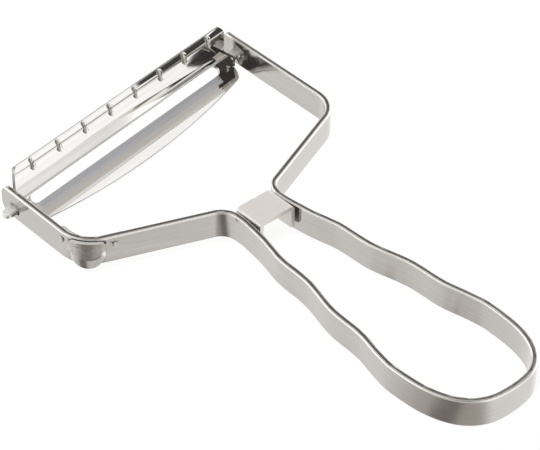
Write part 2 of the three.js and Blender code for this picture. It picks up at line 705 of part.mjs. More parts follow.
const peeler = new THREE.Group();
peeler.add(frameStrip());
peeler.add(neckBridge());
peeler.add(eyeScoop());
peeler.add(scoopRivet("scoop_rivet_arm", -1));
peeler.add(scoopRivet("scoop_rivet_shoulder", 1));
const swivel = new THREE.Group();
swivel.applyMatrix4(cutterPlace);
swivel.add(cutter());
peeler.add(swivel);
peeler.updateMatrixWorld(true);
const box = new THREE.Box3().setFromObject(peeler, true);
const middle = box.getCenter(new THREE.Vector3());
peeler.position.set(-middle.x, -middle.y, -box.min.z);

export default peeler;
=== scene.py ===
"""Looks of a steel vegetable peeler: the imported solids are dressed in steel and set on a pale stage.

Laid out as an add-on and run as a script. Lengths are metres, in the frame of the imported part.
"""

import json
import math

import bpy
from bpy.props import FloatProperty, FloatVectorProperty, PointerProperty
from mathutils import Matrix, Vector

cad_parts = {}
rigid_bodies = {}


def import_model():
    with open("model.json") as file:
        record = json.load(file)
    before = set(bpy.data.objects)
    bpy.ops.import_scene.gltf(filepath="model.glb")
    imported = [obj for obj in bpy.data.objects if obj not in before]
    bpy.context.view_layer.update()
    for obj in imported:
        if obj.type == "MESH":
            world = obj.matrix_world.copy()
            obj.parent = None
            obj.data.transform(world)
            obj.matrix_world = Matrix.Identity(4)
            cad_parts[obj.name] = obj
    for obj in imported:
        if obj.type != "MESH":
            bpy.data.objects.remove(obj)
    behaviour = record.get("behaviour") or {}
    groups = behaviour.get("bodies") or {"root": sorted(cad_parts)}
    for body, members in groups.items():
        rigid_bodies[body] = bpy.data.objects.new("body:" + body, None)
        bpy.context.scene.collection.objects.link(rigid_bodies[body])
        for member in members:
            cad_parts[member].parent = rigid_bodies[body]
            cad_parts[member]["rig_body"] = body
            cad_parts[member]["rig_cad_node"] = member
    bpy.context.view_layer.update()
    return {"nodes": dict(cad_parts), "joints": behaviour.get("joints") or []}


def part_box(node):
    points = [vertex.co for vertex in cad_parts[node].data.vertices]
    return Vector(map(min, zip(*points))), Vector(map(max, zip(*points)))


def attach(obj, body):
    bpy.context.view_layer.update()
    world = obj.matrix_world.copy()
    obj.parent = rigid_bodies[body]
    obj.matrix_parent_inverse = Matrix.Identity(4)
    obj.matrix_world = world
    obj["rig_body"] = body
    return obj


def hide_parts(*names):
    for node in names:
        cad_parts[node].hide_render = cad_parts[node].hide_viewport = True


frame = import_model()

bl_info = {
    "name": "Steel vegetable peeler",
    "version": (1, 0, 0),
    "blender": (4, 5, 0),
    "location": "3D View > Sidebar > Peeler",
    "description": "Dresses the peeler's solids in steel and sets them on a pale stage",
    "category": "Object",
}

SLANT = math.atan2(frame["joints"][0]["axis"][1], frame["joints"][0]["axis"][0])

# Camera, floor and lamp
SENSOR_WIDTH_MM = 36
CLIP_START = 0.01
FLOOR_GAP = 0.0001
FLOOR_COLOR = (0.3, 0.3, 0.3, 1)
FLOOR_GLOW = 0.78
LAMP_WAY = (-0.5, -0.2, 1)
LAMP_DISTANCE = 0.5
LAMP_SIZE = 0.2

# Steel
LEAST_SPREAD = 0.015
SPREAD_BY_GRAIN = 0.15
SMUDGE_ROUGHNESS = 0.06
SCRATCH_ROUGHNESS = 0.12
MATT_ROUGHNESS = 0.6
MATT_COLOR = (0.97, 0.96, 0.94, 1)
STRIP_LINES = (60, 60, 5200)
EVEN_LINES = (600, 600, 600)
STRIP_CREASE = math.radians(55)
BEND_CREASE = math.radians(24)
SAME_WAY = 0.9999

# Top line of the guard's leaning foot: its ends along the cutter from the origin, heights from the pivot
FOOT_TOP_ENDS = (0, 0.034)
FOOT_TOP_HEIGHTS = (0.0026, -0.0013)
FOOT_SLOPE = 0.7

# Places on the cutter, measured from its pivot along, across and up
FOOT_ACROSS = 0.0025
FOOT_HALF_DEPTH = 0.0004
FOOT_SOFTNESS = 0.0001
TONGUE_ALONG = (0.0375, 0.05)
TONGUE_HALF_WIDTH = 0.0016
TONGUE_HEIGHTS = (0.0003, 0.001)
TONGUE_SOFTNESS = (0.0003, 0.0002)
BEVEL_ACROSS = (-0.0014, 0.0005)
BACK_ACROSS = -0.0025
BACK_EDGE_WIDTH = 0.0002
GUARD_SIDE_FROM = 0.0007
GUARD_RIM_FROM = 0.007

# Ways in which faces of the cutter point, across and up
BEVEL_WAY = (-0.318, 0.948)
BACK_WAY = (-0.79, -0.62)


# Settings

class PeelerFinish(bpy.types.PropertyGroup):
    """Colours and polish of the steel"""

    strip_color: FloatVectorProperty(
        name="Strip", description="Satin steel of the handle and yoke", subtype="COLOR",
        default=(0.56, 0.535, 0.505), min=0, max=1,
    )
    plate_color: FloatVectorProperty(
        name="Neck plate", description="Fine satin steel of the bridge", subtype="COLOR",
        default=(0.83, 0.80, 0.755), min=0, max=1,
    )
    scoop_color: FloatVectorProperty(
        name="Scoop", description="Polished steel of the eye scoop", subtype="COLOR",
        default=(0.72, 0.675, 0.645), min=0, max=1,
    )
    rim_color: FloatVectorProperty(
        name="Scoop rim", description="Ground steel of the scoop's lower rim", subtype="COLOR",
        default=(0.74, 0.73, 0.71), min=0, max=1,
    )
    blade_color: FloatVectorProperty(
        name="Cutter", description="Mirror-polished steel of the guard and blade", subtype="COLOR",
        default=(0.86, 0.845, 0.82), min=0, max=1,
    )
    cut_color: FloatVectorProperty(
        name="Cut edges", description="Sheared steel of the cutter's sheet edges", subtype="COLOR",
        default=(0.46, 0.45, 0.44), min=0, max=1,
    )
    bevel_color: FloatVectorProperty(
        name="Cutting bevel", description="Ground steel next to the cutting edge", subtype="COLOR",
        default=(0.50, 0.505, 0.525), min=0, max=1,
    )
    # Brighter colour for the strip's rounded edges: a painted highlight along its top edges
    edge_highlight_color: FloatVectorProperty(
        name="Strip edge highlight", description="Brighter steel of the strip's rounded edges, as a painted highlight", subtype="COLOR",
        default=(0.90, 0.885, 0.86), min=0, max=1,
    )
    strip_roughness: FloatProperty(
        name="Strip roughness", description="Mean roughness of the satin strip", subtype="FACTOR",
        default=0.12, min=0, max=1,
    )
    mirror_roughness: FloatProperty(
        name="Mirror roughness", description="Mean roughness of the polished cutter", subtype="FACTOR",
        default=0.015, min=0, max=1,
    )


class PeelerShape(bpy.types.PropertyGroup):
    """Small sizes of the dressed pieces"""

    weld: FloatProperty(
        name="Weld", description="Distance under which the corners of triangles become one", unit="LENGTH",
        default=2e-6, min=1e-7, max=1e-4, precision=7,
    )
    crease: FloatProperty(
        name="Crease", description="Edges sharper than this stay sharp", subtype="ANGLE",
        default=math.radians(38), min=0, max=math.pi,
    )
    bridge_edge: FloatProperty(
        name="Bridge edge", description="Width of the broken edges of the bridge", unit="LENGTH",
        default=0.00015, min=0, max=0.0004, precision=5,
    )


class PeelerStage(bpy.types.PropertyGroup):
    """Camera, floor and light"""

    azimuth: FloatProperty(
        name="Azimuth", description="Turn of the camera about the vertical, from behind the handle",
        subtype="ANGLE", default=math.radians(42.39),
    )
    elevation: FloatProperty(
        name="Elevation", description="Height of the camera above the horizon", subtype="ANGLE",
        default=math.radians(39.757),
    )
    roll: FloatProperty(
        name="Roll", description="Turn of the camera about its own view", subtype="ANGLE",
        default=math.radians(0.67),
    )
    distance: FloatProperty(
        name="Distance", description="From the camera to the point it looks at", unit="LENGTH",
        default=0.5543,
    )
    lens: FloatProperty(
        name="Lens", description="Focal length in millimetres on a 36 mm sensor", default=162.6,
    )
    aim: FloatVectorProperty(
        name="Aim", description="Point the camera looks at, from the neck's centre at the strip's top edge",
        subtype="TRANSLATION", unit="LENGTH", default=(-0.003165, -0.005, 0.0),
    )
    floor_margin: FloatProperty(
        name="Floor margin", description="How far the floor reaches past the peeler's sides and cutter",
        unit="LENGTH", default=0.11,
    )
    floor_lip: FloatProperty(
        name="Floor lip", description="How far the floor reaches past the handle's end", unit="LENGTH",
        default=0.004,
    )
    lamp_power: FloatProperty(
        name="Softbox", description="Power of the soft lamp overhead, in watts", unit="POWER",
        default=1.4,
    )
    dark_azimuth: FloatProperty(
        name="Dark side", description="Way to the middle of the unlit side of the studio, from X",
        subtype="ANGLE", default=math.radians(-165),
    )


# Selecting and copying

def pick(*objects):
    """Selects only these objects, the first one active."""
    bpy.ops.object.select_all(action="DESELECT")
    for obj in objects:
        obj.select_set(True)
    bpy.context.view_layer.objects.active = objects[0]


def piece_from_node(node_name, piece_name, weld):
    """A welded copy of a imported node, as a new object of its own."""
    pick(frame["nodes"][node_name])
    bpy.ops.object.duplicate()
    piece = bpy.context.object
    piece.name = piece_name
    piece.parent = None
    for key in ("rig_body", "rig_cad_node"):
        del piece[key]
    piece.data.name = piece_name
    piece.data.materials.clear()
    bpy.ops.object.mode_set(mode="EDIT")
    bpy.ops.mesh.select_mode(type="FACE")
    bpy.ops.mesh.select_all(action="SELECT")
    bpy.ops.mesh.remove_doubles(threshold=weld)
    bpy.ops.mesh.tris_convert_to_quads(face_threshold=math.radians(1), shape_threshold=math.radians(180))
    bpy.ops.object.mode_set(mode="OBJECT")
    return piece


def select_faces(piece, wanted):
    """In edit mode, selects the faces that a test of centre and normal accepts."""
    bpy.ops.object.mode_set(mode="OBJECT")
    mesh = piece.data
    for part in (mesh.vertices, mesh.edges):
        part.foreach_set("select", [False] * len(part))
    for face in mesh.polygons:
        face.select = wanted(face.center, face.normal)
    bpy.ops.object.mode_set(mode="EDIT")


def coat_faces(piece, material, wanted, crisp=True):
    """Gives the accepted faces a material of their own, with or without a crisp border."""
    pick(piece)
    piece.data.materials.append(material)
    select_faces(piece, wanted)
    piece.active_material_index = len(piece.data.materials) - 1
    bpy.ops.object.material_slot_assign()
    if crisp:
        bpy.ops.mesh.region_to_loop()
        bpy.ops.mesh.mark_sharp()
        bpy.ops.mesh.select_mode(type="FACE")
    bpy.ops.object.mode_set(mode="OBJECT")


def break_edges(piece, material, wanted, width):
    """Bevels the border of the accepted faces and gives the bevel a material of its own."""
    pick(piece)
    piece.data.materials.append(material)
    select_faces(piece, wanted)
    bpy.ops.mesh.region_to_loop()
    bpy.ops.mesh.bevel(offset=width, segments=2, affect="EDGES")
    bpy.ops.mesh.select_mode(type="FACE")
    piece.active_material_index = len(piece.data.materials) - 1
    bpy.ops.object.material_slot_assign()
    bpy.ops.object.mode_set(mode="OBJECT")


def flat_ways(piece, least_area):
    """The ways in which the large flat faces of a piece point."""
    areas = {}
    for face in piece.data.polygons:
        way = tuple(round(part, 3) for part in face.normal)
        areas[way] = areas.get(way, 0) + face.area
    return [Vector(way).normalized() for way, area in areas.items() if area > least_area]


def smooth(piece, crease, least_area=1e-5):
    """Smooth shading between sharp edges, led by the flat faces of more than an area in square metres."""
    ways = flat_ways(piece, least_area)
    pick(piece)
    bpy.ops.object.shade_smooth_by_angle(angle=crease, keep_sharp_edges=True)
    select_faces(piece, lambda center, normal: any(normal.dot(way) > SAME_WAY for way in ways))
    bpy.ops.mesh.mod_weighted_strength(set=True, face_strength="STRONG")
    bpy.ops.object.mode_set(mode="OBJECT")
    lead = piece.modifiers.new("Flat faces lead", "WEIGHTED_NORMAL")
    lead.mode = "FACE_AREA"
    lead.keep_sharp = True
    lead.use_face_influence = True
    bpy.ops.object.modifier_apply(modifier=lead.name)


def place(piece, body, node_name):
    """Puts a piece on its body in place of its node."""
    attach(piece, body)
    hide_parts(node_name)


# Shader groups

def new_group(name, inputs, outputs):
    """An empty shader group with its sockets, and its two end nodes."""
    group = bpy.data.node_groups.new(name, "ShaderNodeTree")
    for socket_name, socket_type in inputs:
        group.interface.new_socket(socket_name, in_out="INPUT", socket_type=socket_type)
    for socket_name in outputs:
        group.interface.new_socket(socket_name, in_out="OUTPUT", socket_type="NodeSocketFloat")
    start = group.nodes.new("NodeGroupInput")
    end = group.nodes.new("NodeGroupOutput")
    return group, start, end


def add_window(tree, value, low, high, soft):
    """One between two numbers and nought outside them, with soft ends."""
    rise = add_range(tree, value, low - soft, low + soft, 0, 1)
    fall = add_range(tree, value, high - soft, high + soft, 1, 0)
    return add_math(tree, "MULTIPLY", rise, fall)


def add_noise(tree, vector, scale, detail):
    """A noise texture on a vector socket."""
    noise = tree.nodes.new("ShaderNodeTexNoise")
    noise.inputs["Scale"].default_value = scale
    noise.inputs["Detail"].default_value = detail
    tree.links.new(vector, noise.inputs["Vector"])
    return noise.outputs["Fac"]


def add_range(tree, value, from_low, from_high, to_low, to_high):
    """A smooth change of range on a value socket."""
    node = tree.nodes.new("ShaderNodeMapRange")
    node.interpolation_type = "SMOOTHSTEP"
    for socket_name, number in (
        ("From Min", from_low), ("From Max", from_high), ("To Min", to_low), ("To Max", to_high),
    ):
        node.inputs[socket_name].default_value = number
    tree.links.new(value, node.inputs["Value"])
    return node.outputs["Result"]


def add_math(tree, operation, first, second):
    """A math node on a socket and a socket or number."""
    node = tree.nodes.new("ShaderNodeMath")
    node.operation = operation
    tree.links.new(first, node.inputs[0])
    if isinstance(second, (int, float)):
        node.inputs[1].default_value = second
    else:
        tree.links.new(second, node.inputs[1])
    return node.outputs[0]


def brushed_grain():
    """Fine lines of brushing: their tone and their height, for a stretched coordinate."""
    group = bpy.data.node_groups.get("Brushed grain")
    if group:
        return group
    group, start, end = new_group(
        "Brushed grain",
        [("Vector", "NodeSocketVector"), ("Lines per metre", "NodeSocketVector")],
        ["Tone", "Height"],
    )
    stretch = group.nodes.new("ShaderNodeVectorMath")
    stretch.operation = "MULTIPLY"
    group.links.new(start.outputs["Vector"], stretch.inputs[0])
    group.links.new(start.outputs["Lines per metre"], stretch.inputs[1])
    broad = add_noise(group, stretch.outputs[0], scale=0.35, detail=2)
    fine = add_noise(group, stretch.outputs[0], scale=1.0, detail=3)
    both = add_math(group, "ADD", broad, fine)
    group.links.new(add_range(group, both, 0.7, 1.3, 0, 1), end.inputs["Tone"])
    group.links.new(fine, end.inputs["Height"])
    return group


def handling_marks():
    """Marks of use: broad smudges and thin hairline scratches."""
    group = bpy.data.node_groups.get("Handling marks")
    if group:
        return group
    group, start, end = new_group(
        "Handling marks",
        [("Vector", "NodeSocketVector")],
        ["Smudge", "Scratch"],
    )
    broad = add_noise(group, start.outputs["Vector"], scale=70, detail=4)
    group.links.new(add_range(group, broad, 0.42, 0.68, 0, 1), end.inputs["Smudge"])
    lines = add_noise(group, start.outputs["Vector"], scale=160, detail=1)
    centred = add_math(group, "SUBTRACT", lines, 0.5)
    off_line = group.nodes.new("ShaderNodeMath")
    off_line.operation = "ABSOLUTE"
    group.links.new(centred, off_line.inputs[0])
    group.links.new(add_range(group, off_line.outputs[0], 0.0, 0.006, 1, 0), end.inputs["Scratch"])
    return group


def add_split(tree, vector):
    """The X, Y and Z sockets of a vector socket."""
    node = tree.nodes.new("ShaderNodeSeparateXYZ")
    tree.links.new(vector, node.inputs["Vector"])
    return node.outputs


def add_color_mix(tree, factor, first, second):
    """A mix of two colours, each of them a socket or four numbers."""
    node = tree.nodes.new("ShaderNodeMix")
    node.data_type = "RGBA"
    tree.links.new(factor, node.inputs["Factor"])
    for socket_name, value in (("A", first), ("B", second)):
        if isinstance(value, tuple):
            node.inputs[socket_name].default_value = value
        else:
            tree.links.new(value, node.inputs[socket_name])
    return node.outputs["Result"]


def add_matt_boxes(tree, spot, boxes, tone, roughness):
    """Pale and rough steel inside some boxes: the new sockets of tone and roughness."""
    axes = add_split(tree, spot)
    for box in boxes:
        windows = [add_window(tree, axes[axis], *limits) for axis, limits in zip("XYZ", box)]
        inside = add_math(tree, "MULTIPLY", add_math(tree, "MULTIPLY", *windows[:2]), windows[2])
        rougher = add_math(tree, "MULTIPLY", inside, MATT_ROUGHNESS)
        roughness = add_math(tree, "ADD", roughness, rougher)
        tone = add_color_mix(tree, inside, tone, MATT_COLOR)
    return tone, roughness


def add_round_foot(tree, spot, round_foot, normal):
    """The normal of a wall that leans at its foot, below a falling top line."""
    top_line, limits, slope = round_foot
    axes = add_split(tree, spot)
    top = add_range(tree, axes["X"], *top_line)
    below = add_math(tree, "MAXIMUM", add_math(tree, "SUBTRACT", top, axes["Z"]), 0)
    there = add_window(tree, axes["Y"], *limits)
    rise = add_math(tree, "MULTIPLY", add_math(tree, "MULTIPLY", below, there), slope)
    lean = tree.nodes.new("ShaderNodeBump")
    lean.inputs["Distance"].default_value = 1.0
    tree.links.new(rise, lean.inputs["Height"])
    tree.links.new(normal, lean.inputs["Normal"])
    return lean.outputs["Normal"]


def steel(
    name, color, roughness, lines, grain, depth,
    turn=(0, 0, 0), wear=0.5, matt_boxes=(), round_foot=None,
):
    """A steel with brushed lines, smudges and scratches.

    lines: lines per metre along X, Y and Z of the turned coordinate; grain: how much the lines change the
    roughness; depth: their height in metres; turn: turn of the coordinate; wear: how strong the marks are;
    matt_boxes: where the polishing doesn't reach, each with low, high and softness along X, Y and Z;
    round_foot: X and Z at both ends of the top line, low, high and softness along Y, and slope of a wall
    that leans at its foot.
    """
    material = bpy.data.materials.new(name)
    material.use_nodes = True
    tree = material.node_tree
    shader = tree.nodes["Principled BSDF"]
    shader.inputs["Metallic"].default_value = 1.0
    mapping = tree.nodes.new("ShaderNodeMapping")
    mapping.inputs["Rotation"].default_value = turn
    coordinates = tree.nodes.new("ShaderNodeTexCoord")
    tree.links.new(coordinates.outputs["Object"], mapping.inputs["Vector"])
    spot = mapping.outputs["Vector"]

    brush = tree.nodes.new("ShaderNodeGroup")
    brush.node_tree = brushed_grain()
    brush.inputs["Lines per metre"].default_value = lines
    tree.links.new(spot, brush.inputs["Vector"])
    marks = tree.nodes.new("ShaderNodeGroup")
    marks.node_tree = handling_marks()
    tree.links.new(spot, marks.inputs["Vector"])

    spread = LEAST_SPREAD + SPREAD_BY_GRAIN * grain
    darker = (*[c * (1 - spread) for c in color], 1)
    lighter = (*[min(1, c * (1 + spread)) for c in color], 1)
    tone = add_color_mix(tree, brush.outputs["Tone"], darker, lighter)

    rough, fine = roughness * (1 + grain), roughness * (1 - grain)
    total = add_range(tree, brush.outputs["Tone"], 0, 1, rough, fine)
    for mark, strength in (("Smudge", SMUDGE_ROUGHNESS), ("Scratch", SCRATCH_ROUGHNESS)):
        total = add_math(tree, "ADD", total, add_math(tree, "MULTIPLY", marks.outputs[mark], strength * wear))
    if matt_boxes:
        tone, total = add_matt_boxes(tree, spot, matt_boxes, tone, total)
    tree.links.new(tone, shader.inputs["Base Color"])
    tree.links.new(total, shader.inputs["Roughness"])

    bump = tree.nodes.new("ShaderNodeBump")
    bump.inputs["Strength"].default_value = 1.0
    bump.inputs["Distance"].default_value = depth
    tree.links.new(brush.outputs["Height"], bump.inputs["Height"])
    normal = bump.outputs["Normal"]
    if round_foot:
        normal = add_round_foot(tree, spot, round_foot, normal)
    tree.links.new(normal, shader.inputs["Normal"])
    return material


# Pieces

class PEELER_OT_frame_strip(bpy.types.Operator):
    """Dresses the bent strip of the handle and yoke in satin steel, with a painted highlight of brighter
    steel on its rounded edges
    """

    bl_idname = "peeler.frame_strip"
    bl_label = "Frame strip"

    def execute(self, context):
        finish, shape = context.scene.peeler_finish, context.scene.peeler_shape
        strip = piece_from_node("frame_strip", "satin_strip", shape.weld)
        strip.data.materials.append(steel(
            "Satin strip steel", finish.strip_color, finish.strip_roughness,
            lines=STRIP_LINES, grain=0.06, depth=1.5e-7, wear=0.4,
        ))

        # The rounded edges that face partly upwards get a brighter steel: a painted highlight along the
        # strip's top edges
        def on_rounding(center, normal):
            return 0.1 < normal.z < 0.9

        edge_highlight = steel(
            "Strip edge steel with painted highlight", finish.edge_highlight_color, roughness=0.28,
            lines=STRIP_LINES, grain=0.06, depth=1e-7, wear=0.2,
        )
        coat_faces(strip, edge_highlight, on_rounding, crisp=False)
        smooth(strip, STRIP_CREASE)
        place(strip, "frame", "frame_strip")
        return {"FINISHED"}


class PEELER_OT_neck_bridge(bpy.types.Operator):
    """Dresses the bridge at the neck in fine satin steel, with broken edges"""

    bl_idname = "peeler.neck_bridge"
    bl_label = "Neck bridge"

    def execute(self, context):
        finish, shape = context.scene.peeler_finish, context.scene.peeler_shape
        bridge = piece_from_node("neck_bridge", "neck_plate", shape.weld)
        edge = bridge.modifiers.new("Broken edges", "BEVEL")
        edge.width = shape.bridge_edge
        edge.segments = 2
        edge.limit_method = "ANGLE"
        edge.angle_limit = math.radians(60)
        pick(bridge)
        bpy.ops.object.modifier_apply(modifier=edge.name)
        bridge.data.materials.append(steel(
            "Fine satin plate steel", finish.plate_color, roughness=0.5,
            lines=(300, 9000, 9000), grain=0.06, depth=3e-7, wear=0.4,
        ))
        smooth(bridge, shape.crease)
        place(bridge, "frame", "neck_bridge")
        return {"FINISHED"}


class PEELER_OT_eye_scoop(bpy.types.Operator):
    """Dresses the scoop in polished steel, with a ground lower rim and matt tops"""

    bl_idname = "peeler.eye_scoop"
    bl_label = "Eye scoop"

    def execute(self, context):
        finish, shape = context.scene.peeler_finish, context.scene.peeler_shape
        scoop = piece_from_node("eye_scoop", "corner_scoop", shape.weld)
        scoop.data.materials.append(steel(
            "Polished scoop steel", finish.scoop_color, roughness=0.12,
            lines=(900, 900, 90), grain=0.2, depth=5e-8, wear=0.1,
        ))
        ground = steel(
            "Ground rim steel", finish.rim_color, roughness=0.16,
            lines=(2600, 2600, 200), grain=0.25, depth=2e-7, wear=0.15,
        )
        matt = steel(
            "Matt tab steel", finish.rim_color, roughness=0.65, lines=EVEN_LINES, grain=0.1, depth=1e-7,
        )

        def on_rim(center, normal):
            return -0.97 < normal.z < -0.05

        def on_top(center, normal):
            return normal.z > 0.9

        coat_faces(scoop, ground, on_rim)
        coat_faces(scoop, matt, on_top)
        smooth(scoop, BEND_CREASE, least_area=1)
        place(scoop, "frame", "eye_scoop")
        return {"FINISHED"}


class PEELER_OT_rivets(bpy.types.Operator):
    """Dresses the two rivets of the scoop"""

    bl_idname = "peeler.rivets"
    bl_label = "Scoop rivets"

    def execute(self, context):
        finish, shape = context.scene.peeler_finish, context.scene.peeler_shape
        dull = steel(
            "Rivet steel", finish.rim_color, roughness=0.6, lines=(1500, 1500, 1500), grain=0.3, depth=6e-7,
        )
        for side in ("arm", "shoulder"):
            rivet = piece_from_node("scoop_rivet_" + side, "rivet_by_" + side, shape.weld)
            rivet.data.materials.append(dull)
            smooth(rivet, shape.crease)
            place(rivet, "frame", "scoop_rivet_" + side)
        return {"FINISHED"}


def matt_tongue_tops(pivot, along, across):
    """The boxes round the tops of the cutter's two tongues, for a matt finish."""
    soft_along, soft = TONGUE_SOFTNESS
    inner, outer = TONGUE_ALONG
    middle, line = pivot.dot(along), pivot.dot(across)
    low, high = TONGUE_HEIGHTS
    return [
        (
            (middle + start, middle + end, soft_along),
            (line - TONGUE_HALF_WIDTH, line + TONGUE_HALF_WIDTH, soft),
            (pivot.z + low, pivot.z + high, soft),
        )
        for start, end in ((inner, outer), (-outer, -inner))
    ]


def guard_foot(pivot, across):
    """Where and how much the guard leans at its foot."""
    foot = pivot.dot(across) + FOOT_ACROSS
    top_line = (*FOOT_TOP_ENDS, *[pivot.z + height for height in FOOT_TOP_HEIGHTS])
    return top_line, (foot - FOOT_HALF_DEPTH, foot + FOOT_HALF_DEPTH, FOOT_SOFTNESS), FOOT_SLOPE


class PEELER_OT_cutter(bpy.types.Operator):
    """Dresses the swivelling cutter in mirror steel, with a ground bevel along the cutting edge"""

    bl_idname = "peeler.cutter"
    bl_label = "Cutter"

    def execute(self, context):
        finish, shape = context.scene.peeler_finish, context.scene.peeler_shape
        cutter = piece_from_node("cutter", "swivel_cutter", shape.weld)
        turn = (0, 0, -SLANT)
        slanted = Matrix.Rotation(SLANT, 3, "Z")
        along, across = slanted @ Vector((1, 0, 0)), slanted @ Vector((0, 1, 0))
        pivot = Vector(frame["joints"][0]["pos_m"])
        cutter.data.materials.append(steel(
            "Mirror cutter steel", finish.blade_color, finish.mirror_roughness,
            lines=(30, 1400, 1400), grain=0.3, depth=5e-8, turn=turn, wear=0.03,
            matt_boxes=matt_tongue_tops(pivot, along, across), round_foot=guard_foot(pivot, across),
        ))
        ground = steel(
            "Ground cutting bevel", finish.bevel_color, roughness=0.42,
            lines=(25, 5200, 5200), grain=0.12, depth=3e-7, turn=turn,
        )
        sheared = steel(
            "Sheared edge steel", finish.cut_color, roughness=0.35, lines=EVEN_LINES, grain=0.2, depth=3e-7,
        )
        bevel_way, back_way = (
            level * across + Vector((0, 0, up)) for level, up in (BEVEL_WAY, BACK_WAY)
        )

        def on_bevel(center, normal):
            low, high = BEVEL_ACROSS
            return normal.dot(bevel_way) > 0.995 and low < (center - pivot).dot(across) < high

        def on_guard_edge(center, normal):
            height = center.z - pivot.z
            side = height > GUARD_SIDE_FROM and abs(normal.dot(along)) > 0.6
            rim = height > GUARD_RIM_FROM and normal.dot(across) > 0.4 and normal.z > 0.8
            return side or rim

        def on_back_edge(center, normal):
            return normal.dot(back_way) > 0.5 and (center - pivot).dot(across) < BACK_ACROSS

        coat_faces(cutter, ground, on_bevel)
        coat_faces(cutter, sheared, on_guard_edge)
        break_edges(cutter, sheared, on_back_edge, BACK_EDGE_WIDTH)
        smooth(cutter, BEND_CREASE)
        place(cutter, "cutter", "cutter")
        return {"FINISHED"}


# Stage

def lowest_of(node_name):
    """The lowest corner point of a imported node."""
    return min((v.co.copy() for v in frame["nodes"][node_name].data.vertices), key=lambda co: co.z)


def add_dot(tree, vector, way):
    """How far a vector socket points a given way."""
    node = tree.nodes.new("ShaderNodeVectorMath")
    node.operation = "DOT_PRODUCT"
    node.inputs[1].default_value = way
    tree.links.new(vector, node.inputs[0])
    return node.outputs["Value"]


